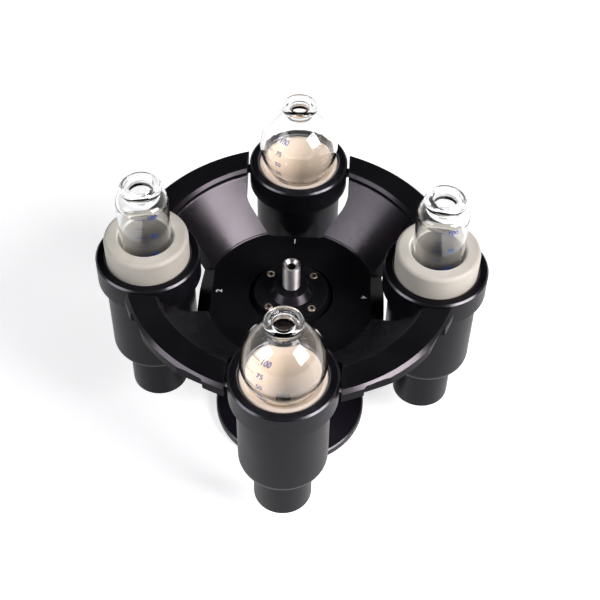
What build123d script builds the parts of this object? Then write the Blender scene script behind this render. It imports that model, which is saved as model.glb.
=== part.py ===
from build123d import *
import os
from math import cos, radians, sin, sqrt

# A four-place swing-out centrifuge rotor for oil-test glassware, standing on its stand.
# Millimetres. Z = 0 is the bench, +Z is up, and the rotor's spin axis is the Z axis.
# Place 1 is at +Y, 2 at -X, 3 at -Y and 4 at +X. Places 1 and 3 carry pear-shaped tubes,
# places 2 and 4 carry long-cone tubes. Each place's pieces are modelled at +X and turned
# to where they belong.

PLACE_ANGLE = {1: 90, 2: 180, 3: 270, 4: 0}
TUBE_KIND = {1: "pear", 2: "cone", 3: "pear", 4: "cone"}
OVERCUT = 1.0

# ---- Rotor bowl: depths are measured down from the rim's top face -------------------------
RIM_TOP = 172.5
RIM_R = 122.5
RIM_CHAMFER = 2.5
RIM_WALL_H = 10.0
RIM_W = 20.4
RIM_BEVEL_W = 2.4
RIM_BEVEL_H = 1.9
RIM_STEP = 5.3
RIM_STEP_ROUND = 2.0
FLOOR_R = 64.2
FLOOR_DEPTH = 36.4
FLOOR_ROUND = 1.5
DISH_FOOT_DEPTH = 34.8
UNDER_R = 70.0
UNDER_DEPTH = 48.0
HUB_RECESS_R = 31.4
HUB_RECESS_DEPTH = 2.5

# ---- Pockets for the buckets, and the reliefs milled into the outer wall ------------------
POCKET_GAP = 1.55
POCKET_INNER_REACH = 45.2
POCKET_IN_HALF = 20.1
POCKET_CORNER_R = 16.0
POCKET_INNER_CORNER_R = 4.0
POCKET_FOOT_GAP = 2.0
RELIEF_DEPTH = 5.0
RELIEF_TOP = 1.6
RELIEF_EDGE_R = 2.0
RELIEF_FACING_DEG = 25.0
RELIEF_SHOULDER_DEG = 18.7

# ---- Buckets: heights are measured from the rim's top face --------------------------------
BUCKET_INSET = 18.5
COLLAR_PROUD = 5.25
COLLAR_RISE = 1.0
COLLAR_H = 21.0
COLLAR_CHAMFER = 1.2
COLLAR_LOW_CHAMFER = 0.8
BODY_R = 32.5
BODY_DROP = 96.0
BODY_FILLET = 8.0
BODY_WALL = 1.75
BORE_CHAMFER = 0.8
BUCKET_FLOOR_T = 6.0
BOSS_R = 21.5
BOSS_DROP = 141.0
BOSS_CHAMFER = 1.5
BOSS_WALL = 2.75
BOSS_FLOOR_T = 4.5

# ---- Trunnion pins: two to a bucket, set in the lugs on each side of the pocket -----------
PIN_R = 3.5
PIN_DROP = 9.5
PIN_REACH = 5.0
PIN_SET = 7.0
PIN_EDGE = 0.5
PIN_RUN = 0.08
PIN_HOLE_FIT = 0.02
GROOVE_END_GAP = 0.7

# ---- Hub plate, drive hub, their screws and the clamp screw -------------------------------
PLATE_R = 27.0
PLATE_PROUD = 4.2
PLATE_SINK = 4.8
PLATE_FIT = 0.1
CONE_BASE_R = 16.0
CONE_TOP_R = 12.3
CONE_H = 5.6
CORE_R = 14.0
SCREW_CIRCLE_R = 22.5
SCREW_R = 2.0
SCREW_HEAD_R = 3.2
SCREW_HEAD_H = 4.0
SCREW_SINK = 0.4
SCREW_HEX = 3.0
SCREW_HEX_DEPTH = 2.0
SCREW_LENGTH = 20.0
SCREW_HOLE_GAP = 0.2
SCREW_HEAD_GAP = 0.5
FLANGE_R = 30.0
FLANGE_T = 10.0
SLEEVE_R = 16.0
SLEEVE_DROP = 78.0
CLAMP_HEAD_R = 6.5
CLAMP_TOP_DROP = 4.3
CLAMP_HEAD_SEAT = 0.1
CLAMP_HEAD_EDGE = 1.0
CLAMP_SHANK_R = 4.0
CLAMP_TIP_DROP = 70.0
CLAMP_RUN = 0.06
CLAMP_CONE_R = 5.4
CLAMP_CONE_DEPTH = 1.8
CLAMP_HEX = 6.0
CLAMP_HEX_DEPTH = 7.0
RING_R = 6.5
RING_T = 0.8
RING_GROOVE_R = 3.4
RING_GAP = 0.1

# ---- Stand --------------------------------------------------------------------------------
BASE_R = 60.0
BASE_T = 7.0
BASE_CHAMFER = 1.0
COLUMN_R = 20.0
COLUMN_CHAMFER = 1.0
SPIGOT_R = 10.0
SPIGOT_RUN = 0.05
SPIGOT_TOP_GAP = 2.0
SPIGOT_CHAMFER = 1.0
SHOULDER_GAP = 0.1
SPIGOT_HOLE_R = 4.3
SPIGOT_HOLE_DEPTH = 22.0
FOOT_SCREW_R = 4.0
FOOT_SCREW_HEAD_R = 8.0
FOOT_SCREW_HEAD_H = 4.0
FOOT_SCREW_SINK = 0.5
FOOT_SCREW_LENGTH = 24.0
FOOT_SCREW_HEX = 5.0
FOOT_SCREW_HEX_DEPTH = 3.0

# ---- Inserts ------------------------------------------------------------------------------
INSERT_FIT = 0.5
CONE_INSERT_RISE = 20.0
CONE_INSERT_EDGE = 3.0
CONE_INSERT_BORE_GAP = 1.5
CONE_INSERT_LIP = 1.2
PEAR_INSERT_RISE = 0.0
PEAR_INSERT_EDGE = 0.8
PEAR_INSERT_LAND = 2.85
PEAR_INSERT_MOUTH_DEPTH = 5.0
SEAT_GAP = 0.3

# ---- Glass tubes: heights are measured from the rim's top face ----------------------------
GLASS_T = 1.8
LIP_ROUND = 0.7
PEAR_TOP = 58.0
PEAR_BULB_R = 29.6
PEAR_BULB_RISE = 18.0
PEAR_DOME_ARC_R = 33.0
PEAR_LOWER_ARC_R = 36.0
PEAR_CONE_DEG = 30.0
PEAR_NECK_R = 10.2
PEAR_NECK_ROUND = 6.0
PEAR_MOUTH_R = 7.75
PEAR_BEAD_R = 13.5
PEAR_BEAD_H = 5.5
PEAR_STEM_R = 6.5
PEAR_TIP_R = 5.2
PEAR_TIP_DROP = 102.0
CONE_TOP = 70.0
CONE_BARREL_R = 18.5
CONE_SHOULDER_RISE = 54.0
CONE_SHOULDER_R = 7.0
CONE_NECK_ROUND = 2.0
CONE_MOUTH_R = 8.5
CONE_BEAD_R = 14.7
CONE_BEAD_H = 6.5
CONE_START_DROP = 8.0
CONE_TIP_R = 3.4
CONE_TIP_DROP = 133.0

# ---- Rubber cushions under the long-cone tubes --------------------------------------------
CUSHION_H = 8.0
CUSHION_FIT = 0.25

# ---- Worked out from the sizes above ------------------------------------------------------
RIM_INNER_R = RIM_R - RIM_W
BUCKET_AT_R = RIM_R - BUCKET_INSET
POCKET_IN_R = BUCKET_AT_R - POCKET_INNER_REACH
COLLAR_R = BODY_R + COLLAR_PROUD
BORE_R = BODY_R - BODY_WALL
BOSS_BORE_R = BOSS_R - BOSS_WALL
FLOOR_Z = RIM_TOP - FLOOR_DEPTH
UNDER_Z = RIM_TOP - UNDER_DEPTH
PIVOT_Z = RIM_TOP - PIN_DROP
POCKET_HALF = COLLAR_R + POCKET_GAP
POCKET_FOOT_R = BUCKET_AT_R - BODY_R - POCKET_FOOT_GAP
BORE_FLOOR_Z = RIM_TOP - BODY_DROP + BUCKET_FLOOR_T
BOSS_FLOOR_Z = RIM_TOP - BOSS_DROP + BOSS_FLOOR_T
PLATE_TOP_Z = FLOOR_Z + PLATE_PROUD
PLATE_LOW_Z = FLOOR_Z - PLATE_SINK
CONE_TOP_Z = PLATE_TOP_Z + CONE_H
FLANGE_LOW_Z = UNDER_Z - FLANGE_T
SLEEVE_LOW_Z = RIM_TOP - SLEEVE_DROP
SPIGOT_BORE_R = SPIGOT_R + SPIGOT_RUN
SHOULDER_Z = SLEEVE_LOW_Z - SHOULDER_GAP
SPIGOT_TOP_Z = UNDER_Z - SPIGOT_TOP_GAP
SCREW_SEAT_Z = PLATE_TOP_Z - SCREW_SINK - SCREW_HEAD_H
INSERT_R = BORE_R - INSERT_FIT
PEAR_INSERT_MOUTH_R = INSERT_R - PEAR_INSERT_LAND


# ---- Shaping helpers ----------------------------------------------------------------------
def rod(radius, low, high):
    """A round bar on the Z axis between two heights."""
    return Pos(0, 0, low) * Cylinder(radius, high - low, align=(Align.CENTER, Align.CENTER, Align.MIN))


def hex_bar(across_flats, low, high):
    """A hexagonal bar on the Z axis, for a key's socket."""
    outline = RegularPolygon(across_flats / 2, 6, major_radius=False)
    return extrude(Pos(0, 0, low) * outline, high - low)


def turned(edges, rounds=()):
    """A turned piece: an outline in radius and height, swept round the Z axis. Each of the
    rounds is a corner of the outline and the radius it is rounded to."""
    outline = make_face(edges)
    for corner, radius in rounds:
        outline = fillet(outline.vertices().sort_by_distance(corner)[0], radius)
    return revolve(Plane.XZ * outline, Axis.Z)


def turned_points(points, rounds=()):
    """A turned piece whose outline is all straight lines but for its rounds."""
    return turned(Polyline(*points, close=True), rounds)


def arc_about(centre, radius, start_deg, end_deg):
    """An arc from one angle to another about a centre in radius and height."""
    return CenterArc(centre, radius, start_deg, end_deg - start_deg)


def at_place(shape, number):
    """Turns a piece modelled at +X to its numbered place."""
    return Rot(0, 0, PLACE_ANGLE[number]) * shape


def at_screws(shape):
    """Four copies of a piece on the hub's screw circle, between the places."""
    return [Rot(0, 0, 45 + 90 * k) * Pos(SCREW_CIRCLE_R, 0, 0) * shape for k in range(4)]


# ---- Rotor bowl ---------------------------------------------------------------------------
def pocket_cutter():
    """The space a bucket swings in: a flared slot whose floor ends on a slanted foot."""
    flare = POCKET_HALF - POCKET_IN_HALF
    reach = RIM_R + RIM_CHAMFER
    plan = Polygon(
        (POCKET_IN_R, -POCKET_IN_HALF),
        (POCKET_IN_R + flare, -POCKET_HALF),
        (reach, -POCKET_HALF),
        (reach, POCKET_HALF),
        (POCKET_IN_R + flare, POCKET_HALF),
        (POCKET_IN_R, POCKET_IN_HALF),
        align=None,
    )
    inner = plan.vertices().group_by(Axis.X)[0]
    plan = fillet(inner, POCKET_INNER_CORNER_R)
    bends = plan.vertices().filter_by(lambda v: abs(v.X - POCKET_IN_R - flare) < 0.01)
    plan = fillet(bends, POCKET_CORNER_R)
    slot = extrude(Pos(0, 0, UNDER_Z - OVERCUT) * plan, UNDER_DEPTH + 2 * OVERCUT)
    foot_low = UNDER_Z - 2 * OVERCUT
    foot = Polyline(
        (0, FLOOR_Z),
        (POCKET_IN_R, FLOOR_Z),
        (POCKET_FOOT_R, UNDER_Z),
        (POCKET_FOOT_R, foot_low),
        (0, foot_low),
        close=True,
    )
    foot_bar = extrude(Plane.XZ * make_face(foot), POCKET_HALF + OVERCUT, both=True)
    return slot - foot_bar


def relief_cutter():
    """A flat milled into the outer wall under the rim, from a lug's shoulder until it runs out."""
    far = 2 * RIM_R
    beyond_flat = Pos(RIM_R - RELIEF_DEPTH, 0) * Rectangle(far, far, align=(Align.MIN, Align.CENTER))
    shoulder = radians(RELIEF_SHOULDER_DEG)
    wedge = Polygon((0, 0), (far, 0), (far * cos(shoulder), far * sin(shoulder)), align=None)
    plan = (Rot(0, 0, RELIEF_FACING_DEG) * beyond_flat) & wedge
    recess = extrude(Pos(0, 0, UNDER_Z) * plan, UNDER_DEPTH - RELIEF_TOP)
    return fillet(recess.edges().group_by(Axis.Z)[-1], RELIEF_EDGE_R)


def make_rotor_bowl():
    """The dished rotor, machined from one billet, with four pockets open to the outside."""
    step_foot = (RIM_INNER_R - RIM_BEVEL_W, RIM_TOP - RIM_STEP)
    floor_edge = (FLOOR_R, FLOOR_Z)
    blank = turned_points(
        [
            (0, FLOOR_Z),
            floor_edge,
            (FLOOR_R, RIM_TOP - DISH_FOOT_DEPTH),
            step_foot,
            (RIM_INNER_R - RIM_BEVEL_W, RIM_TOP - RIM_BEVEL_H),
            (RIM_INNER_R, RIM_TOP),
            (RIM_R - RIM_CHAMFER, RIM_TOP),
            (RIM_R, RIM_TOP - RIM_CHAMFER),
            (RIM_R, RIM_TOP - RIM_WALL_H),
            (UNDER_R, UNDER_Z),
            (0, UNDER_Z),
        ],
        [(step_foot, RIM_STEP_ROUND), (floor_edge, FLOOR_ROUND)],
    )
    above = FLOOR_Z + OVERCUT
    below = UNDER_Z - OVERCUT
    cuts = [rod(PLATE_R + PLATE_FIT, PLATE_LOW_Z, above), rod(CORE_R, below, FLOOR_Z)]
    cuts.append(rod(HUB_RECESS_R, FLOOR_Z - HUB_RECESS_DEPTH, above))
    cuts += at_screws(rod(SCREW_R + SCREW_HOLE_GAP, below, FLOOR_Z))
    relief = relief_cutter()
    pin_hole = Cylinder(PIN_R + PIN_HOLE_FIT, 2 * (POCKET_HALF + PIN_SET))
    place_cut = pocket_cutter() + Pos(BUCKET_AT_R, 0, PIVOT_Z) * Rot(90, 0, 0) * pin_hole
    for number, angle in PLACE_ANGLE.items():
        cuts.append(at_place(place_cut, number))
        cuts.append(Rot(0, 0, angle + 45) * relief)
        cuts.append(Rot(0, 0, angle + 45) * mirror(relief, Plane.XZ))
    return blank - cuts


def make_trunnion_pin(side):
    """A pin set in one lug at +X; side is +1 or -1 along Y."""
    length = PIN_REACH + PIN_SET
    pin = Cylinder(PIN_R, length, align=(Align.CENTER, Align.CENTER, Align.MIN))
    pin = chamfer(pin.edges().filter_by(GeomType.CIRCLE).sort_by(Axis.Z)[0], PIN_EDGE)
    tip = POCKET_HALF - PIN_REACH
    return Pos(BUCKET_AT_R, side * tip, PIVOT_Z) * Rot(-90 * side, 0, 0) * pin


# ---- Hub and drive ------------------------------------------------------------------------
def make_hub_plate():
    """The plate let into the bowl's floor and proud of it, with the low cone round the clamp screw."""
    plate = turned_points(
        [
            (CLAMP_SHANK_R + CLAMP_RUN, PLATE_LOW_Z),
            (PLATE_R, PLATE_LOW_Z),
            (PLATE_R, PLATE_TOP_Z),
            (CONE_BASE_R, PLATE_TOP_Z),
            (CONE_TOP_R, CONE_TOP_Z),
            (CLAMP_SHANK_R + CLAMP_RUN, CONE_TOP_Z),
        ]
    )
    hole = rod(SCREW_R + SCREW_HOLE_GAP, PLATE_LOW_Z - OVERCUT, PLATE_TOP_Z)
    head_room = rod(SCREW_HEAD_R + SCREW_HEAD_GAP, SCREW_SEAT_Z, PLATE_TOP_Z + OVERCUT)
    return plate - at_screws(hole + head_room)


def make_hub_screws():
    """The four socket cap screws that hold the hub plate and drive hub to the bowl."""
    head_top = SCREW_SEAT_Z + SCREW_HEAD_H
    head = rod(SCREW_HEAD_R, SCREW_SEAT_Z, head_top)
    head = chamfer(head.edges().filter_by(GeomType.CIRCLE).sort_by(Axis.Z)[-1], PIN_EDGE)
    shank = rod(SCREW_R, SCREW_SEAT_Z - SCREW_LENGTH, SCREW_SEAT_Z)
    screw = head + shank - hex_bar(SCREW_HEX, head_top - SCREW_HEX_DEPTH, head_top + OVERCUT)
    return Compound(children=at_screws(screw))


def make_drive_hub():
    """The flanged sleeve under the bowl that takes the shaft, or here the stand's spigot."""
    sleeve = rod(FLANGE_R, FLANGE_LOW_Z, UNDER_Z) + rod(SLEEVE_R, SLEEVE_LOW_Z, FLANGE_LOW_Z)
    tapped = rod(SCREW_R, FLANGE_LOW_Z - OVERCUT, UNDER_Z + OVERCUT)
    bore = rod(SPIGOT_BORE_R, SLEEVE_LOW_Z - OVERCUT, UNDER_Z + OVERCUT)
    return sleeve - bore - at_screws(tapped)


def make_clamp_screw():
    """The captive steel screw that locks the rotor down, with a key socket in its tall head."""
    head_low = CONE_TOP_Z + CLAMP_HEAD_SEAT
    head_top = RIM_TOP - CLAMP_TOP_DROP
    ring_top = PLATE_LOW_Z - RING_GAP
    screw = turned_points(
        [
            (0, RIM_TOP - CLAMP_TIP_DROP),
            (CLAMP_SHANK_R, RIM_TOP - CLAMP_TIP_DROP),
            (CLAMP_SHANK_R, ring_top - RING_T),
            (RING_GROOVE_R, ring_top - RING_T),
            (RING_GROOVE_R, ring_top),
            (CLAMP_SHANK_R, ring_top),
            (CLAMP_SHANK_R, head_low),
            (CLAMP_HEAD_R - CLAMP_HEAD_EDGE, head_low),
            (CLAMP_HEAD_R, head_low + CLAMP_HEAD_EDGE),
            (CLAMP_HEAD_R, head_top),
            (CLAMP_CONE_R, head_top),
            (CLAMP_HEX / 2, head_top - CLAMP_CONE_DEPTH),
            (0, head_top - CLAMP_CONE_DEPTH),
        ]
    )
    socket_top = head_top - CLAMP_CONE_DEPTH
    return screw - hex_bar(CLAMP_HEX, socket_top - CLAMP_HEX_DEPTH, socket_top + CLAMP_CONE_DEPTH)


def make_retaining_ring():
    """The ring that keeps the clamp screw captive under the hub plate."""
    top = PLATE_LOW_Z - RING_GAP
    return rod(RING_R, top - RING_T, top) - rod(RING_GROOVE_R, top - RING_T, top)


# ---- Buckets ------------------------------------------------------------------------------
def make_bucket():
    """A turned bucket at +X: collar, thin body and narrower boss, grooved for its two pins."""
    top = RIM_TOP + COLLAR_RISE
    collar_low = top - COLLAR_H
    body_low = RIM_TOP - BODY_DROP
    boss_low = RIM_TOP - BOSS_DROP
    outline = [
        Polyline(
            (0, BOSS_FLOOR_Z),
            (BOSS_BORE_R, BOSS_FLOOR_Z),
            (BOSS_BORE_R, BORE_FLOOR_Z),
            (BORE_R, BORE_FLOOR_Z),
            (BORE_R, top - BORE_CHAMFER),
            (BORE_R + BORE_CHAMFER, top),
            (COLLAR_R - COLLAR_CHAMFER, top),
            (COLLAR_R, top - COLLAR_CHAMFER),
            (COLLAR_R, collar_low + COLLAR_LOW_CHAMFER),
            (COLLAR_R - COLLAR_LOW_CHAMFER, collar_low),
            (BODY_R, collar_low),
            (BODY_R, body_low + BODY_FILLET),
        ),
        arc_about((BODY_R - BODY_FILLET, body_low + BODY_FILLET), BODY_FILLET, 0, -90),
        Polyline(
            (BODY_R - BODY_FILLET, body_low),
            (BOSS_R, body_low),
            (BOSS_R, boss_low + BOSS_CHAMFER),
            (BOSS_R - BOSS_CHAMFER, boss_low),
            (0, boss_low),
            (0, BOSS_FLOOR_Z),
        ),
    ]
    shell = turned(outline)
    groove_r = PIN_R + PIN_RUN
    groove_floor = POCKET_HALF - PIN_REACH - GROOVE_END_GAP
    groove_drop = PIVOT_Z - collar_low + OVERCUT
    slot = Circle(groove_r) + Pos(0, -groove_drop / 2) * Rectangle(2 * groove_r, groove_drop)
    groove = extrude(Plane.XZ.offset(groove_floor) * slot, COLLAR_R)
    groove = Pos(0, 0, PIVOT_Z) * groove
    shell = shell - [groove, Rot(0, 0, 180) * groove]
    return Pos(BUCKET_AT_R, 0, 0) * shell


# ---- Glass tubes --------------------------------------------------------------------------
def mouth_edges(neck_r, bead_r, bead_h, mouth_r, top):
    """The rounded bead round a tube's mouth, from the neck's outside to the mouth's wall."""
    lip_r = mouth_r + LIP_ROUND
    crown_r = (lip_r + bead_r) / 2
    return [
        ThreePointArc((neck_r, top - bead_h), (bead_r, top - 0.55 * bead_h), (crown_r, top)),
        Line((crown_r, top), (lip_r, top)),
        Line((lip_r, top), (mouth_r, top - LIP_ROUND)),
    ]


def make_pear_tube():
    """A pear-shaped tube at +X: beaded mouth, domed bulb, cone and narrow graduated stem."""
    top = RIM_TOP + PEAR_TOP
    bulb_z = RIM_TOP + PEAR_BULB_RISE
    tip_z = RIM_TOP - PEAR_TIP_DROP
    dome_x = PEAR_BULB_R - PEAR_DOME_ARC_R
    lower_x = PEAR_BULB_R - PEAR_LOWER_ARC_R
    lean = radians(PEAR_CONE_DEG)

    def dome_height(radius, arc_r):
        return bulb_z + sqrt(arc_r**2 - (radius - dome_x) ** 2)

    def dome_deg(radius, arc_r):
        return Vector(radius - dome_x, dome_height(radius, arc_r) - bulb_z).get_angle(Vector(1, 0))

    def cone_end(arc_r, stem_r):
        start = (lower_x + arc_r * cos(lean), bulb_z - arc_r * sin(lean))
        end = (stem_r, start[1] - (start[0] - stem_r) * cos(lean) / sin(lean))
        return start, end

    dome_in_r = PEAR_DOME_ARC_R - GLASS_T
    lower_in_r = PEAR_LOWER_ARC_R - GLASS_T
    stem_in_r = PEAR_STEM_R - GLASS_T
    tip_in_r = PEAR_TIP_R - GLASS_T
    neck_foot = (PEAR_NECK_R, dome_height(PEAR_NECK_R, PEAR_DOME_ARC_R))
    mouth_foot = (PEAR_MOUTH_R, dome_height(PEAR_MOUTH_R, dome_in_r))
    out_start, out_end = cone_end(PEAR_LOWER_ARC_R, PEAR_STEM_R)
    in_start, in_end = cone_end(lower_in_r, stem_in_r)
    tip_mid_z = tip_z + PEAR_TIP_R
    outline = [
        arc_about((0, tip_mid_z), PEAR_TIP_R, -90, 0),
        Line((PEAR_TIP_R, tip_mid_z), out_end),
        Line(out_end, out_start),
        arc_about((lower_x, bulb_z), PEAR_LOWER_ARC_R, -PEAR_CONE_DEG, 0),
        arc_about((dome_x, bulb_z), PEAR_DOME_ARC_R, 0, dome_deg(PEAR_NECK_R, PEAR_DOME_ARC_R)),
        Line(neck_foot, (PEAR_NECK_R, top - PEAR_BEAD_H)),
        *mouth_edges(PEAR_NECK_R, PEAR_BEAD_R, PEAR_BEAD_H, PEAR_MOUTH_R, top),
        Line((PEAR_MOUTH_R, top - LIP_ROUND), mouth_foot),
        arc_about((dome_x, bulb_z), dome_in_r, dome_deg(PEAR_MOUTH_R, dome_in_r), 0),
        arc_about((lower_x, bulb_z), lower_in_r, 0, -PEAR_CONE_DEG),
        Line(in_start, in_end),
        Line(in_end, (tip_in_r, tip_mid_z)),
        arc_about((0, tip_mid_z), tip_in_r, 0, -90),
        Line((0, tip_mid_z - tip_in_r), (0, tip_z)),
    ]
    return Pos(BUCKET_AT_R, 0, 0) * turned(outline, [(neck_foot, PEAR_NECK_ROUND)])


def make_cone_tube():
    """A long-cone tube at +X: beaded mouth, straight barrel and a long taper to its tip."""
    top = RIM_TOP + CONE_TOP
    shoulder_z = RIM_TOP + CONE_SHOULDER_RISE
    cone_z = RIM_TOP - CONE_START_DROP
    tip_z = RIM_TOP - CONE_TIP_DROP
    tip_mid_z = tip_z + CONE_TIP_R
    neck_r = CONE_BARREL_R - CONE_SHOULDER_R
    barrel_in_r = CONE_BARREL_R - GLASS_T
    shoulder_in_r = CONE_SHOULDER_R - GLASS_T
    tip_in_r = CONE_TIP_R - GLASS_T
    neck_foot = (neck_r, shoulder_z + CONE_SHOULDER_R)
    mouth_foot = (CONE_MOUTH_R, shoulder_z + shoulder_in_r)
    outline = [
        arc_about((0, tip_mid_z), CONE_TIP_R, -90, 0),
        Line((CONE_TIP_R, tip_mid_z), (CONE_BARREL_R, cone_z)),
        Line((CONE_BARREL_R, cone_z), (CONE_BARREL_R, shoulder_z)),
        arc_about((neck_r, shoulder_z), CONE_SHOULDER_R, 0, 90),
        Line(neck_foot, (neck_r, top - CONE_BEAD_H)),
        *mouth_edges(neck_r, CONE_BEAD_R, CONE_BEAD_H, CONE_MOUTH_R, top),
        Line((CONE_MOUTH_R, top - LIP_ROUND), mouth_foot),
        Line(mouth_foot, (neck_r, shoulder_z + shoulder_in_r)),
        arc_about((neck_r, shoulder_z), shoulder_in_r, 90, 0),
        Line((barrel_in_r, shoulder_z), (barrel_in_r, cone_z)),
        Line((barrel_in_r, cone_z), (tip_in_r, tip_mid_z)),
        arc_about((0, tip_mid_z), tip_in_r, 0, -90),
        Line((0, tip_mid_z - tip_in_r), (0, tip_z)),
    ]
    return Pos(BUCKET_AT_R, 0, 0) * turned(outline, [(neck_foot, CONE_NECK_ROUND)])


def cone_tube_radius(height):
    """The long-cone tube's outer radius at a height on its taper."""
    cone_z = RIM_TOP - CONE_START_DROP
    tip_mid_z = RIM_TOP - CONE_TIP_DROP + CONE_TIP_R
    share = (height - tip_mid_z) / (cone_z - tip_mid_z)
    return CONE_TIP_R + share * (CONE_BARREL_R - CONE_TIP_R)


# ---- Inserts and cushions -----------------------------------------------------------------
def make_cone_insert():
    """The tall plastic insert at +X that holds a long-cone tube, standing proud of its collar."""
    top = RIM_TOP + CONE_INSERT_RISE
    bore_r = CONE_BARREL_R + CONE_INSERT_BORE_GAP
    cone_z = RIM_TOP - CONE_START_DROP
    exit_r = cone_tube_radius(BORE_FLOOR_Z) + SEAT_GAP
    seat_r = CONE_BARREL_R + SEAT_GAP
    insert = turned(
        [
            Polyline(
                (exit_r, BORE_FLOOR_Z),
                (INSERT_R, BORE_FLOOR_Z),
                (INSERT_R, top - CONE_INSERT_EDGE),
            ),
            arc_about((INSERT_R - CONE_INSERT_EDGE, top - CONE_INSERT_EDGE), CONE_INSERT_EDGE, 0, 90),
            Polyline(
                (INSERT_R - CONE_INSERT_EDGE, top),
                (bore_r + CONE_INSERT_LIP, top),
                (bore_r, top - CONE_INSERT_LIP),
                (seat_r, cone_z),
                (exit_r, BORE_FLOOR_Z),
            ),
        ]
    )
    return Pos(BUCKET_AT_R, 0, 0) * insert


def make_pear_insert():
    """The low plastic insert at +X whose bored cone holds a pear-shaped tube's bulb."""
    top = RIM_TOP + PEAR_INSERT_RISE
    lean = radians(PEAR_CONE_DEG)
    wall_arc_r = PEAR_LOWER_ARC_R + SEAT_GAP
    seat_start_r = PEAR_BULB_R - PEAR_LOWER_ARC_R + wall_arc_r * cos(lean)
    seat_start_z = RIM_TOP + PEAR_BULB_RISE - wall_arc_r * sin(lean)
    stem_room_r = PEAR_STEM_R + 2 * SEAT_GAP

    def seat_radius(height):
        return seat_start_r - (seat_start_z - height) * sin(lean) / cos(lean)

    mouth_low = top - PEAR_INSERT_MOUTH_DEPTH
    stem_z = seat_start_z - (seat_start_r - stem_room_r) * cos(lean) / sin(lean)
    insert = turned_points(
        [
            (stem_room_r, BORE_FLOOR_Z),
            (INSERT_R, BORE_FLOOR_Z),
            (INSERT_R, top - PEAR_INSERT_EDGE),
            (INSERT_R - PEAR_INSERT_EDGE, top),
            (PEAR_INSERT_MOUTH_R, top),
            (seat_radius(mouth_low), mouth_low),
            (stem_room_r, stem_z),
        ]
    )
    return Pos(BUCKET_AT_R, 0, 0) * insert


def make_cushion():
    """The rubber cushion at +X in a bucket's boss, dished to take the tube's tip."""
    top = BOSS_FLOOR_Z + CUSHION_H
    dish_low = RIM_TOP - CONE_TIP_DROP - SEAT_GAP
    dish_r = CONE_TIP_R + SEAT_GAP
    dish_mid = dish_low + dish_r
    cushion = turned(
        [
            Polyline(
                (0, dish_low),
                (0, BOSS_FLOOR_Z),
                (BOSS_BORE_R - CUSHION_FIT, BOSS_FLOOR_Z),
                (BOSS_BORE_R - CUSHION_FIT, top),
                (cone_tube_radius(top) + SEAT_GAP, top),
                (dish_r, dish_mid),
            ),
            arc_about((0, dish_mid), dish_r, 0, -90),
        ]
    )
    return Pos(BUCKET_AT_R, 0, 0) * cushion


# ---- Stand --------------------------------------------------------------------------------
def foot_screw_shape(gap):
    """The countersunk screw under the base, with a gap all round it to cut its hole."""
    head_top = FOOT_SCREW_SINK + FOOT_SCREW_HEAD_H
    end = FOOT_SCREW_SINK + FOOT_SCREW_LENGTH + 2 * gap
    return turned_points(
        [
            (0, FOOT_SCREW_SINK),
            (FOOT_SCREW_HEAD_R + gap, FOOT_SCREW_SINK),
            (FOOT_SCREW_R + gap, head_top),
            (FOOT_SCREW_R + gap, end),
            (0, end),
        ]
    )


def foot_screw_hole():
    """The hole for that screw, open to the base's underside."""
    mouth = rod(FOOT_SCREW_HEAD_R + SCREW_HOLE_GAP, -OVERCUT, FOOT_SCREW_SINK)
    return foot_screw_shape(SCREW_HOLE_GAP) + mouth


def make_stand_base():
    """The turned disc that stands on the bench."""
    disc = rod(BASE_R, 0, BASE_T)
    disc = chamfer(disc.edges().filter_by(GeomType.CIRCLE).sort_by(Axis.Z)[-1], BASE_CHAMFER)
    return disc - foot_screw_hole()


def make_stand_column():
    """The turned column, with a shoulder under the drive hub and a spigot up its bore."""
    column = turned_points(
        [
            (0, BASE_T),
            (COLUMN_R, BASE_T),
            (COLUMN_R, SHOULDER_Z - COLUMN_CHAMFER),
            (COLUMN_R - COLUMN_CHAMFER, SHOULDER_Z),
            (SPIGOT_R, SHOULDER_Z),
            (SPIGOT_R, SPIGOT_TOP_Z - SPIGOT_CHAMFER),
            (SPIGOT_R - SPIGOT_CHAMFER, SPIGOT_TOP_Z),
            (0, SPIGOT_TOP_Z),
        ]
    )
    clamp_hole = rod(SPIGOT_HOLE_R, SPIGOT_TOP_Z - SPIGOT_HOLE_DEPTH, SPIGOT_TOP_Z + OVERCUT)
    return column - [clamp_hole, foot_screw_hole()]


def make_stand_screw():
    """The countersunk screw that holds the column to the base."""
    socket = hex_bar(FOOT_SCREW_HEX, 0, FOOT_SCREW_SINK + FOOT_SCREW_HEX_DEPTH)
    return foot_screw_shape(0) - socket


# ---- The whole part -----------------------------------------------------------------------
def make_all():
    """Every node by name, each in its place."""
    nodes = {
        "stand_base": make_stand_base(),
        "stand_column": make_stand_column(),
        "stand_screw": make_stand_screw(),
        "rotor_bowl": make_rotor_bowl(),
        "hub_plate": make_hub_plate(),
        "hub_screws": make_hub_screws(),
        "drive_hub": make_drive_hub(),
        "clamp_screw": make_clamp_screw(),
        "retaining_ring": make_retaining_ring(),
    }
    bucket = make_bucket()
    pins = {"a": make_trunnion_pin(1), "b": make_trunnion_pin(-1)}
    tubes = {"pear": make_pear_tube(), "cone": make_cone_tube()}
    inserts = {"pear": make_pear_insert(), "cone": make_cone_insert()}
    cushion = make_cushion()
    for number, kind in TUBE_KIND.items():
        nodes[f"bucket_{number}"] = at_place(bucket, number)
        nodes[f"insert_{number}"] = at_place(inserts[kind], number)
        nodes[f"tube_{number}"] = at_place(tubes[kind], number)
        if kind == "cone":
            nodes[f"cushion_{number}"] = at_place(cushion, number)
        for side, pin in pins.items():
            nodes[f"trunnion_pin_{number}{side}"] = at_place(pin, number)
    return nodes


os.makedirs("parts", exist_ok=True)
for name, shape in make_all().items():
    export_step(shape, f"parts/{name}.step")
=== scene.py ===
import math

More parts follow.
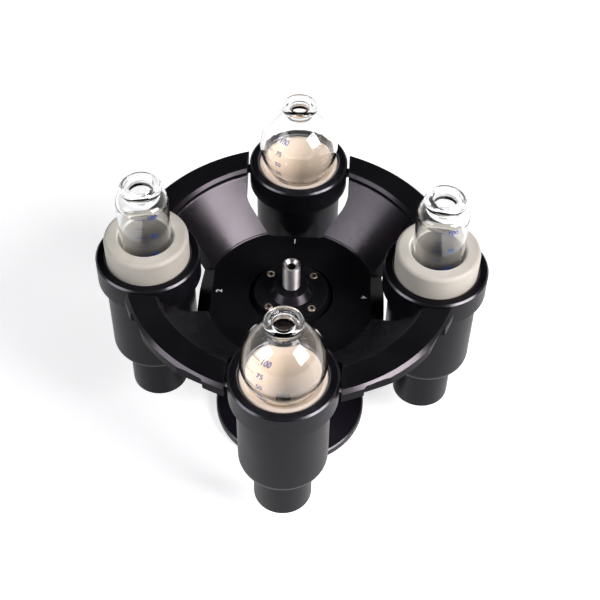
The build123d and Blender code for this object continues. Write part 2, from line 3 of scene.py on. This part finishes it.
import bmesh
import bpy
from mathutils import Matrix, Vector


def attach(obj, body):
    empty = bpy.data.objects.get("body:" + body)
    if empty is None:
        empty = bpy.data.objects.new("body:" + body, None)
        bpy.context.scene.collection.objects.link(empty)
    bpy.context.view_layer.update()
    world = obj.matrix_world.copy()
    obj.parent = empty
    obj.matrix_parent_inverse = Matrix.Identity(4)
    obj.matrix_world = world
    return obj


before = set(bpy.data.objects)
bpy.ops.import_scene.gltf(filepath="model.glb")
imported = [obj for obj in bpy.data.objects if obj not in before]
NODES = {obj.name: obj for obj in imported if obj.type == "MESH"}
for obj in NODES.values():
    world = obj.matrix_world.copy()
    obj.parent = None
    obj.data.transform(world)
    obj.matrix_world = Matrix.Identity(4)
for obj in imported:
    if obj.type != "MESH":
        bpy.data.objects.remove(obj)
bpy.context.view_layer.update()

# Sizes repeated from the part's source, in metres.
RIM_TOP = 0.1725
PLACE_R = 0.104
FLOOR_Z = 0.1361
SCREW_OFFSET = 0.0159
PLACE_DEG = {1: 90, 2: 180, 3: 270, 4: 0}
PEARS = (1, 3)
CONES = (2, 4)

# The tubes' outsides, repeated from the part's source in millimetres, with heights measured
# from the rim's top. The pear's two arcs meet at its belly, and its cone starts below them.
PEAR_BELLY_Z = 18.0
PEAR_UPPER_R, PEAR_UPPER_OFFSET = 33.0, -3.4
PEAR_LOWER_R, PEAR_LOWER_OFFSET = 36.0, -6.4
PEAR_CONE_SLOPE = math.radians(30)
BARREL_R = 18.5
BARREL_TOP_Z, BARREL_FOOT_Z = 54.0, -8.0
SHOULDER_ROUND = 7.0
CONE_TIP_R, CONE_TIP_Z = 3.4, -129.6


def place_axis(number):
    """Where a place's bucket axis stands on the rotor."""
    a = math.radians(PLACE_DEG[number])
    return (PLACE_R * math.cos(a), PLACE_R * math.sin(a))


# ---------------------------------------------------------------- node helpers
def rgb(r, g, b):
    return (r, g, b, 1.0)


def darker(tint, share):
    return rgb(*(c * share for c in tint))


class Nodes:
    """A short way to write a node tree."""

    def __init__(self, tree, output):
        self.tree = tree
        self.tree.nodes.clear()
        self.out = self.node(output)

    def node(self, kind, **settings):
        made = self.tree.nodes.new(kind)
        for key, value in settings.items():
            setattr(made, key, value)
        return made

    def put(self, socket, value):
        """Links a socket's output to a socket, or sets the socket to a plain value."""
        if isinstance(value, bpy.types.NodeSocket):
            self.tree.links.new(value, socket)
        else:
            socket.default_value = value

    def math(self, operation, *values):
        made = self.node("ShaderNodeMath", operation=operation)
        for socket, value in zip(made.inputs, values):
            self.put(socket, value)
        return made.outputs[0]

    def vector(self, operation, *values):
        """A vector operation that gives a number, such as LENGTH or DOT_PRODUCT."""
        made = self.node("ShaderNodeVectorMath", operation=operation)
        for socket, value in zip(made.inputs, values):
            self.put(socket, value)
        return made.outputs["Value"]

    def noise(self, vector, scale, detail=3.0, roughness=0.5):
        made = self.node("ShaderNodeTexNoise")
        self.put(made.inputs["Vector"], vector)
        made.inputs["Scale"].default_value = scale
        made.inputs["Detail"].default_value = detail
        made.inputs["Roughness"].default_value = roughness
        return made.outputs[0]

    def remap(self, value, low, high, to_low, to_high):
        made = self.node("ShaderNodeMapRange")
        self.put(made.inputs[0], value)
        for socket, number in zip(list(made.inputs)[1:5], (low, high, to_low, to_high)):
            socket.default_value = number
        return made.outputs[0]

    def mix(self, factor, a, b):
        made = self.node("ShaderNodeMix", data_type="RGBA")
        self.put(made.inputs[0], factor)
        self.put(made.inputs[6], a)
        self.put(made.inputs[7], b)
        return made.outputs[2]

    def parts(self, vector):
        made = self.node("ShaderNodeSeparateXYZ")
        self.put(made.inputs[0], vector)
        return made.outputs

    def rays(self, *kinds):
        """1 for rays of any of these kinds, 0 for the others."""
        path = self.node("ShaderNodeLightPath")
        seen = path.outputs[kinds[0]]
        for kind in kinds[1:]:
            seen = self.math("MAXIMUM", seen, path.outputs[kind])
        return seen


class Tree(Nodes):
    """A new material's nodes."""

    def __init__(self, name):
        self.material = bpy.data.materials.new(name)
        self.material.use_nodes = True
        super().__init__(self.material.node_tree, "ShaderNodeOutputMaterial")

    def here(self):
        return self.node("ShaderNodeTexCoord").outputs["Object"]

    def bump(self, height, distance, normal=None):
        made = self.node("ShaderNodeBump")
        self.put(made.inputs["Height"], height)
        made.inputs["Distance"].default_value = distance
        made.inputs["Strength"].default_value = 1.0
        if normal is not None:
            self.put(made.inputs["Normal"], normal)
        return made.outputs[0]

    def edge_wear(self, radius, low, high):
        """1 on sharp edges, 0 elsewhere."""
        bevel = self.node("ShaderNodeBevel", samples=4)
        bevel.inputs["Radius"].default_value = radius
        flat = self.node("ShaderNodeNewGeometry").outputs["Normal"]
        turn = self.vector("DOT_PRODUCT", bevel.outputs[0], flat)
        return self.remap(turn, low, high, 1.0, 0.0)

    def lathe_plan(self, centre, drift):
        """Coordinates for lathe lines about an axis: radius, height and, by drift, the turn."""
        x, y, z = self.parts(self.here())
        dx = self.math("SUBTRACT", x, centre[0])
        dy = self.math("SUBTRACT", y, centre[1])
        squares = self.math(
            "ADD", self.math("MULTIPLY", dx, dx), self.math("MULTIPLY", dy, dy)
        )
        made = self.node("ShaderNodeCombineXYZ")
        self.put(made.inputs[0], self.math("SQRT", squares))
        self.put(made.inputs[1], z)
        turn = self.math("ARCTAN2", dy, dx)
        self.put(made.inputs[2], self.math("MULTIPLY", turn, drift))
        return made.outputs[0]

    def lathe_lines(self, plan, pitch):
        """Fine lathe lines of a pitch in metres, as a height."""
        return self.noise(plan, 1.0 / pitch, detail=2.0, roughness=0.6)

    def turned(self):
        """The tangent round the vertical axis, for gloss that a lathe's lines draw out."""
        return self.node("ShaderNodeTangent", direction_type="RADIAL", axis="Z").outputs[0]

    def shader(self, **values):
        made = self.node("ShaderNodeBsdfPrincipled")
        for key, value in values.items():
            self.put(made.inputs[key.replace("_", " ")], value)
        self.tree.links.new(made.outputs[0], self.out.inputs["Surface"])
        return made


# ---------------------------------------------------------------- materials
# Noise scales are per metre, and bump distances and pitches are in metres.
ACROSS_LINES = 0.25  # the anisotropic rotation that draws gloss out across the lathe lines
# A lighter colour for sharp edges: partly rubbed wear, partly a painted edge highlight.
RUBBED_AND_HIGHLIT = rgb(0.10, 0.095, 0.10)


def anodised(
    name, centre=(0.0, 0.0), tint=(0.0034, 0.0032, 0.0044), rough=0.30, ior=1.22,
    lines=0.000010, glint=(0.95, 0.91, 1.0),
):
    """Black anodised aluminium with lathe lines and faint smears; its sharp edges are painted
    lighter, partly as rubbed wear and partly as a painted highlight.

    The low IOR keeps walls and flats as dark as the photo's while they still mirror the floor.
    """
    t = Tree(name)
    plan = t.lathe_plan(centre, drift=0.00004)
    fine = t.lathe_lines(plan, pitch=0.00034)
    broad = t.noise(plan, 420.0, detail=3.0)
    smear = t.noise(t.here(), 38.0, detail=5.0, roughness=0.6)
    speck = t.noise(t.here(), 5200.0, detail=2.0)
    wear_and_highlight = t.edge_wear(0.0004, 0.90, 0.995)
    base = t.mix(t.remap(smear, 0.35, 0.7, 0.0, 1.0), rgb(*tint), darker(tint, 1.5))
    base = t.mix(t.math("MULTIPLY", wear_and_highlight, 0.35), base, RUBBED_AND_HIGHLIT)
    gloss = t.math(
        "ADD",
        t.remap(smear, 0.3, 0.75, rough - 0.03, rough + 0.04),
        t.remap(speck, 0.3, 0.7, -0.02, 0.02),
    )
    normal = t.bump(fine, lines)
    normal = t.bump(broad, 0.000012, normal)
    normal = t.bump(speck, 0.0000012, normal)
    t.shader(
        Base_Color=base, Roughness=gloss, Normal=normal, IOR=ior,
        Anisotropic=0.75, Anisotropic_Rotation=ACROSS_LINES, Tangent=t.turned(),
        Specular_Tint=rgb(*glint),
    )
    return t.material


def steel(name, tint, rough):
    """Turned stainless steel."""
    t = Tree(name)
    fine = t.lathe_lines(t.lathe_plan((0.0, 0.0), drift=0.0002), pitch=0.00022)
    smear = t.noise(t.here(), 300.0, detail=4.0)
    base = t.mix(t.remap(smear, 0.3, 0.7, 0.0, 1.0), rgb(*tint), darker(tint, 0.86))
    t.shader(
        Base_Color=base, Roughness=t.remap(smear, 0.3, 0.7, rough - 0.04, rough + 0.06),
        Normal=t.bump(fine, 0.000004), Metallic=1.0,
        Anisotropic=0.85, Anisotropic_Rotation=ACROSS_LINES, Tangent=t.turned(),
    )
    return t.material


def plastic(name, centre, tint, deep):
    """Turned engineering plastic: matt, with tool lines and a little light in its edges."""
    t = Tree(name)
    fine = t.lathe_lines(t.lathe_plan(centre, drift=0.00005), pitch=0.0006)
    cloud = t.noise(t.here(), 60.0, detail=4.0, roughness=0.55)
    grain = t.noise(t.here(), 2600.0, detail=3.0)
    # Paler sharp edges: a painted edge highlight.
    wear_and_highlight = t.edge_wear(0.0006, 0.88, 0.995)
    pale_edge_highlight = rgb(*(min(1.0, c * 1.12) for c in tint))
    base = t.mix(t.remap(cloud, 0.3, 0.7, 0.0, 1.0), rgb(*tint), rgb(*deep))
    base = t.mix(t.remap(fine, 0.35, 0.65, 0.0, 0.16), base, darker(deep, 0.8))
    base = t.mix(t.math("MULTIPLY", wear_and_highlight, 0.45), base, pale_edge_highlight)
    t.shader(
        Base_Color=base, Roughness=t.remap(grain, 0.3, 0.7, 0.37, 0.49),
        Normal=t.bump(grain, 0.000006, t.bump(fine, 0.000022)), Specular_IOR_Level=0.42,
        Subsurface_Weight=0.18, Subsurface_Radius=(0.9, 0.75, 0.55), Subsurface_Scale=0.0012,
    )
    return t.material


def glass(name):
    """Clear blown glass, very slightly uneven. It lets most light through to what is inside."""
    t = Tree(name)
    wave = t.noise(t.here(), 22.0, detail=2.0, roughness=0.4)
    seed = t.noise(t.here(), 420.0, detail=1.0)
    body = t.shader(
        Base_Color=rgb(0.985, 0.99, 0.99), Roughness=t.remap(seed, 0.3, 0.7, 0.0, 0.012),
        Normal=t.bump(seed, 0.0000025, t.bump(wave, 0.00035)),
        Transmission_Weight=1.0, IOR=1.48,
    )
    clear = t.node("ShaderNodeBsdfTransparent")
    clear.inputs["Color"].default_value = rgb(0.80, 0.81, 0.81)
    both = t.node("ShaderNodeMixShader")
    t.put(both.inputs[0], t.rays("Is Shadow Ray"))
    t.put(both.inputs[1], body.outputs[0])
    t.put(both.inputs[2], clear.outputs[0])
    t.put(t.out.inputs["Surface"], both.outputs[0])
    return t.material


def rubber(name):
    """Moulded black rubber with a fine grain."""
    t = Tree(name)
    grain = t.noise(t.here(), 1800.0, detail=4.0)
    cloud = t.remap(t.noise(t.here(), 90.0, detail=3.0), 0.3, 0.7, 0.0, 1.0)
    t.shader(
        Base_Color=t.mix(cloud, rgb(0.018, 0.018, 0.018), rgb(0.035, 0.034, 0.033)),
        Roughness=t.remap(grain, 0.3, 0.7, 0.6, 0.8), Normal=t.bump(grain, 0.00002),
    )
    return t.material


def ink(name, tint):
    """Printed or filled marks, slightly uneven in strength."""
    t = Tree(name)
    patch = t.noise(t.here(), 2400.0, detail=3.0)
    base = t.mix(t.remap(patch, 0.3, 0.7, 0.0, 1.0), rgb(*tint), darker(tint, 0.82))
    t.shader(Base_Color=base, Roughness=t.remap(patch, 0.3, 0.7, 0.45, 0.6))
    return t.material


# ---------------------------------------------------------------- dressing the CAD nodes
def dress(node, material, other=None, where=None):
    """Gives a CAD node its material, and a second one to the faces that pass a test."""
    mesh = NODES[node].data
    mesh.materials.clear()
    mesh.materials.append(material)
    if other is not None:
        mesh.materials.append(other)
    for polygon in mesh.polygons:
        polygon.material_index = 1 if where is not None and where(polygon) else 0


def slopes_above(height):
    """Picks sloping upper faces above a height, which get a more reflective copy of their
    material: a painted highlight where these faces mirror the softboxes.
    """
    return lambda face: 0.25 < face.normal.z < 0.97 and face.center.z > height


def faces_inward(axis):
    """Picks the faces of an insert's bore, which get painted light: a darker copy of the white
    plastic for shade, a warmer copy of the beige.
    """
    bore_top = RIM_TOP + 0.0185
    towards_axis = -0.001

    def test(face):
        dx, dy = face.center.x - axis[0], face.center.y - axis[1]
        out = dx * face.normal.x + dy * face.normal.y
        return out < towards_axis and face.center.z < bore_top
    return test


def in_sockets(axes, radius, low, high):
    """Picks the faces inside key sockets, which are in shade, near an axis between heights."""
    def test(face):
        near = min(math.hypot(face.center.x - x, face.center.y - y) for x, y in axes)
        return near < radius and low < face.center.z < high
    return test


ABOVE_FLOOR = FLOOR_Z + 0.0002
STAND_EDGE_Z = 0.005
COLLAR_EDGE_Z = RIM_TOP - 0.003
HUB_SOCKETS = in_sockets(
    [(SCREW_OFFSET * x, SCREW_OFFSET * y) for x in (-1, 1) for y in (-1, 1)],
    radius=0.00172, low=0.1374, high=0.1397,
)
CLAMP_SOCKET = in_sockets([(0.0, 0.0)], radius=0.0036, low=0.1590, high=0.1663)

# The sloping faces of rotor_bowl, hub_plate and stand_base get a second anodised copy with a
# higher IOR: a painted highlight on the dish and the edges.
MAT_BOWL = anodised("anodised_rotor", tint=(0.0048, 0.0049, 0.0060), rough=0.32, ior=1.13)
MAT_SLOPE_HIGHLIGHT = anodised(
    "anodised_dish_painted_highlight", rough=0.29, ior=1.69, lines=0.000012, glint=(1.0, 0.90, 0.99)
)
MAT_STAND = anodised("anodised_stand", tint=(0.006, 0.005, 0.008), rough=0.34, ior=1.32)
MAT_STAND_EDGE_HIGHLIGHT = anodised("anodised_stand_edge_painted_highlight", rough=0.32, ior=1.8)
MAT_STEEL = steel("steel_turned", tint=(0.90, 0.865, 0.85), rough=0.44)
MAT_SCREW = steel("steel_screws", tint=(0.56, 0.46, 0.38), rough=0.38)
MAT_SOCKET = steel("steel_in_shade", tint=(0.10, 0.085, 0.075), rough=0.5)
MAT_PIN = steel("steel_pins", tint=(0.16, 0.155, 0.16), rough=0.36)
MAT_GLASS = glass("clear_glass")
MAT_RUBBER = rubber("rubber_black")
MAT_WHITE_INK = ink("white_fill", (0.80, 0.80, 0.80))
MAT_BLUE_INK = ink("blue_print", (0.004, 0.060, 0.33))

# An insert's colour, and the deeper one that clouds it, outside and in its bore. The bore
# colours are painted light: darker for shade in the white inserts, warmer in the beige ones.
BEIGE = ((0.58, 0.495, 0.42), (0.54, 0.455, 0.38))
BEIGE_BORE_PAINTED_LIGHT = ((0.63, 0.49, 0.37), (0.56, 0.43, 0.32))
WHITE = ((0.52, 0.49, 0.435), (0.48, 0.45, 0.395))
WHITE_BORE_PAINTED_SHADE = ((0.26, 0.24, 0.21), (0.23, 0.21, 0.185))

dress("stand_base", MAT_STAND, MAT_STAND_EDGE_HIGHLIGHT, slopes_above(STAND_EDGE_Z))
dress("stand_column", MAT_STAND)
dress("stand_screw", MAT_SCREW)
dress("rotor_bowl", MAT_BOWL, MAT_SLOPE_HIGHLIGHT, slopes_above(ABOVE_FLOOR))
dress("hub_plate", MAT_BOWL, MAT_SLOPE_HIGHLIGHT, slopes_above(ABOVE_FLOOR))
dress("hub_screws", MAT_SCREW, MAT_SOCKET, HUB_SOCKETS)
dress("drive_hub", MAT_STEEL)
dress("clamp_screw", MAT_STEEL, MAT_SOCKET, CLAMP_SOCKET)
dress("retaining_ring", MAT_STEEL)
for number in PLACE_DEG:
    axis = place_axis(number)
    body = anodised(f"anodised_bucket_{number}", axis)
    # The collar's sloping edges get a more reflective copy of the bucket's anodising: a painted
    # highlight.
    edges = anodised(
        f"anodised_collar_edge_painted_highlight_{number}", axis, ior=1.8, glint=(0.95, 0.92, 1.0)
    )
    dress(f"bucket_{number}", body, edges, slopes_above(COLLAR_EDGE_Z))
    colour, outer, bore_painted_colours = (
        ("beige", BEIGE, BEIGE_BORE_PAINTED_LIGHT) if number in PEARS else ("white", WHITE, WHITE_BORE_PAINTED_SHADE)
    )
    outside = plastic(f"{colour}_plastic_{number}", axis, *outer)
    # The bore copy is painted light: shade in the white inserts, a warmer tone in the beige
    # ones.
    bore = plastic(f"{colour}_plastic_bore_{number}", axis, *bore_painted_colours)
    dress(f"insert_{number}", outside, bore, faces_inward(axis))
    dress(f"tube_{number}", MAT_GLASS)
    for side in "ab":
        dress(f"trunnion_pin_{number}{side}", MAT_PIN)
for number in CONES:
    dress(f"cushion_{number}", MAT_RUBBER)


# ---------------------------------------------------------------- marks
CAP_TO_SIZE = 1.43  # the font's size for a capital's height of 1
LABEL_HEIGHT = 0.0035
LABEL_STEP = 0.0007
LABEL_BOLD = 0.00008
LABEL_GAP = 0.0048
LINE_HALF_WIDTH = 0.00016
PRINT_PROUD = 0.00004
NUMBER_HEIGHT = 0.0045
NUMBER_STEP = 0.004
NUMBER_BOLD = 0.00010
NUMBER_R = 0.0534
NUMBER_PROUD = 0.00003


def mesh_piece(name, bm, material):
    mesh = bpy.data.meshes.new(name)
    bm.to_mesh(mesh)
    bm.free()
    mesh.materials.append(material)
    made = bpy.data.objects.new(name, mesh)
    bpy.context.scene.collection.objects.link(made)
    return made


def words_mesh(text, height, step, bold):
    """The outline font's shapes as a flat, finely divided mesh, centred on its own middle."""
    curve = bpy.data.curves.new("words", "FONT")
    curve.body = text
    curve.size = height * CAP_TO_SIZE
    curve.align_x = "CENTER"
    curve.align_y = "CENTER"
    curve.resolution_u = 4
    curve.offset = bold
    holder = bpy.data.objects.new("words", curve)
    bpy.context.scene.collection.objects.link(holder)
    bpy.context.view_layer.update()
    evaluated = holder.evaluated_get(bpy.context.evaluated_depsgraph_get())
    mesh = bpy.data.meshes.new_from_object(evaluated)
    bpy.data.objects.remove(holder)
    bpy.data.curves.remove(curve)
    bm = bmesh.new()
    bm.from_mesh(mesh)
    bpy.data.meshes.remove(mesh)
    bmesh.ops.triangulate(bm, faces=bm.faces[:])
    for _ in range(4):
        long = [e for e in bm.edges if e.calc_length() > step]
        if not long:
            break
        bmesh.ops.subdivide_edges(bm, edges=long, cuts=1)
        bmesh.ops.triangulate(bm, faces=bm.faces[:])
    return bm


def line_mesh(length, half_width, cuts=14):
    """A flat strip along x, divided along its length."""
    bm = bmesh.new()
    rows = []
    for k in range(cuts + 1):
        x = -length / 2 + length * k / cuts
        rows.append((bm.verts.new((x, -half_width, 0)), bm.verts.new((x, half_width, 0))))
    for (a, b), (c, d) in zip(rows, rows[1:]):
        bm.faces.new((a, c, d, b))
    return bm


def merged(meshes):
    """Several bmeshes as one."""
    whole = bmesh.new()
    for bm in meshes:
        copied = {v: whole.verts.new(v.co) for v in bm.verts}
        for f in bm.faces:
            whole.faces.new([copied[v] for v in f.verts])
        bm.free()
    return whole


def pear_radius(z):
    """The pear tube's outer radius at a height on its bulb or cone, where its marks are."""
    drop = PEAR_BELLY_Z - z
    if drop <= 0:
        return PEAR_UPPER_OFFSET + math.sqrt(PEAR_UPPER_R**2 - drop**2)
    cone_drop = PEAR_LOWER_R * math.sin(PEAR_CONE_SLOPE)
    if drop <= cone_drop:
        return PEAR_LOWER_OFFSET + math.sqrt(PEAR_LOWER_R**2 - drop**2)
    cone_top_r = PEAR_LOWER_OFFSET + PEAR_LOWER_R * math.cos(PEAR_CONE_SLOPE)
    return cone_top_r - (drop - cone_drop) * math.tan(PEAR_CONE_SLOPE)


def cone_radius(z):
    """The long-cone tube's outer radius at a height on its shoulder, barrel or cone."""
    if z > BARREL_TOP_Z:
        rise = z - BARREL_TOP_Z
        return BARREL_R - SHOULDER_ROUND + math.sqrt(SHOULDER_ROUND**2 - rise**2)
    if z > BARREL_FOOT_Z:
        return BARREL_R
    share = (z - CONE_TIP_Z) / (BARREL_FOOT_Z - CONE_TIP_Z)
    return CONE_TIP_R + share * (BARREL_R - CONE_TIP_R)


def wrap(bm, number, radius_at, facing_deg, rise):
    """Lays a flat mark on a tube's outside: x runs round the tube and y up it."""
    cx, cy = place_axis(number)
    for v in bm.verts:
        z = rise + v.co.y
        r = radius_at(z * 1000) / 1000
        a = math.radians(facing_deg) + v.co.x / r
        r += PRINT_PROUD
        v.co = Vector((cx + r * math.cos(a), cy + r * math.sin(a), RIM_TOP + z))
    return bm


def graduate(number, radius_at, facing_deg, marks):
    """A tube's scale: lines, with a number beside the main ones."""
    shapes = []
    for rise, length, label in marks:
        line = line_mesh(length, LINE_HALF_WIDTH)
        shapes.append(wrap(line, number, radius_at, facing_deg, rise))
        if label:
            words = words_mesh(label, LABEL_HEIGHT, LABEL_STEP, LABEL_BOLD)
            words.transform(Matrix.Translation((length / 2 + LABEL_GAP, 0, 0)))
            shapes.append(wrap(words, number, radius_at, facing_deg, rise))
    piece = mesh_piece(f"graduations_{number}", merged(shapes), MAT_BLUE_INK)
    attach(piece, f"bucket_{number}")


# Each mark's height above the rim's top, its line's length, and its label.
PEAR_MARKS = [
    (0.038, 0.007, "100"), (0.029, 0.007, "75"), (0.020, 0.009, "50"), (0.011, 0.009, "25"),
    (0.007, 0.007, ""), (0.003, 0.009, "20"), (-0.001, 0.007, ""), (-0.005, 0.007, "15"),
    (-0.013, 0.006, "10"), (-0.020, 0.004, ""),
]
CONE_MARKS = [
    (0.054, 0.008, "100"), (0.045, 0.006, ""), (0.036, 0.008, "75"), (0.027, 0.006, ""),
    (0.018, 0.008, "50"), (0.009, 0.006, ""), (0.000, 0.008, "25"), (-0.024, 0.006, "20"),
    (-0.044, 0.005, "15"), (-0.062, 0.004, "10"),
]
# The direction that each tube's scale faces, as the tubes were turned in the photo.
for number, facing in ((1, 222), (3, 222)):
    graduate(number, pear_radius, facing, PEAR_MARKS)
for number, facing in ((2, 272), (4, 262)):
    graduate(number, cone_radius, facing, CONE_MARKS)


def floor_number(number):
    """A place's number, filled white on the bowl's floor, with its top towards that place."""
    bm = words_mesh(str(number), NUMBER_HEIGHT, NUMBER_STEP, NUMBER_BOLD)
    a = math.radians(PLACE_DEG[number])
    turn = Matrix.Rotation(a - math.pi / 2, 4, "Z")
    place = (NUMBER_R * math.cos(a), NUMBER_R * math.sin(a), FLOOR_Z + NUMBER_PROUD)
    bm.transform(Matrix.Translation(place) @ turn)
    piece = mesh_piece(f"place_number_{number}", bm, MAT_WHITE_INK)
    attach(piece, "rotor")


for number in PLACE_DEG:
    floor_number(number)


# ---------------------------------------------------------------- floor, world, lamps, camera
def make_floor():
    """A pale floor that keeps the object's shadow and is white to the camera further off."""
    bm = bmesh.new()
    bmesh.ops.create_grid(bm, x_segments=24, y_segments=24, size=4.0)
    t = Tree("floor_white")
    seen = t.rays("Is Camera Ray", "Is Transmission Ray", "Is Glossy Ray")
    cloud = t.remap(t.noise(t.here(), 3.0, detail=2.0), 0.3, 0.7, 0.0, 1.0)
    far = t.remap(t.vector("LENGTH", t.here()), 0.35, 1.6, 0.60, 1.0)
    t.shader(
        Base_Color=t.mix(cloud, rgb(0.80, 0.80, 0.80), rgb(0.815, 0.815, 0.815)),
        Roughness=0.9, Specular_IOR_Level=0.1,
        Emission_Color=rgb(1, 1, 1), Emission_Strength=t.math("MULTIPLY", seen, far),
    )
    floor = mesh_piece("floor", bm, t.material)


def make_world():
    """White to the camera and through glass. To other rays it is white at the horizon and
    soon falls off to a faint overhead light, as in the dark studio that the metal mirrors."""
    world = bpy.data.worlds.new("studio")
    bpy.context.scene.world = world
    world.use_nodes = True
    n = Nodes(world.node_tree, "ShaderNodeOutputWorld")
    up = n.parts(n.node("ShaderNodeTexCoord").outputs["Generated"])["Z"]
    level = n.node("ShaderNodeMix", data_type="FLOAT")
    n.put(level.inputs[0], n.rays("Is Camera Ray", "Is Transmission Ray"))
    n.put(level.inputs[2], n.remap(up, 0.0, 0.06, 1.0, 0.015))
    n.put(level.inputs[3], 1.0)
    sky = n.node("ShaderNodeBackground")
    n.put(sky.inputs["Color"], rgb(1, 1, 1))
    n.put(sky.inputs["Strength"], level.outputs[0])
    n.put(n.out.inputs["Surface"], sky.outputs[0])


def softbox(name, at, watts, colour):
    """A square softbox, aimed at the middle of the rotor."""
    lamp = bpy.data.lights.new(name, "AREA")
    lamp.shape = "SQUARE"
    lamp.size = 0.85
    lamp.energy = watts
    lamp.color = colour
    made = bpy.data.objects.new(name, lamp)
    made.location = at
    made.rotation_mode = "QUATERNION"
    aim = Vector((0.0, 0.0, 0.15))
    made.rotation_quaternion = (Vector(at) - aim).to_track_quat("Z", "Y")
    bpy.context.scene.collection.objects.link(made)


def make_camera():
    """The photo's camera, as fitted to the rim, floor and collar circles."""
    data = bpy.data.cameras.new("camera")
    data.sensor_width = 36.0
    data.lens = 76.466
    data.clip_start = 0.05
    data.clip_end = 50.0
    camera = bpy.data.objects.new("camera", data)
    right = Vector((0.99873, 0.04822, 0.01439))
    up = Vector((-0.04594, 0.75721, 0.65156))
    back = Vector((0.02052, -0.65139, 0.75846))
    turn = Matrix((right, up, back)).transposed().to_4x4()
    at = Matrix.Translation((0.02614, -0.61922, 0.67817 + RIM_TOP))
    bpy.context.scene.collection.objects.link(camera)
    camera.matrix_world = at @ turn
    bpy.context.scene.camera = camera


make_floor()
make_world()
softbox("softbox_right", (1.03, -0.53, 0.92), 29.0, (1.0, 0.965, 0.98))
softbox("softbox_left", (-1.03, -0.53, 0.92), 10.5, (0.95, 0.95, 1.0))
make_camera()
bpy.context.scene.view_settings.view_transform = "Standard"
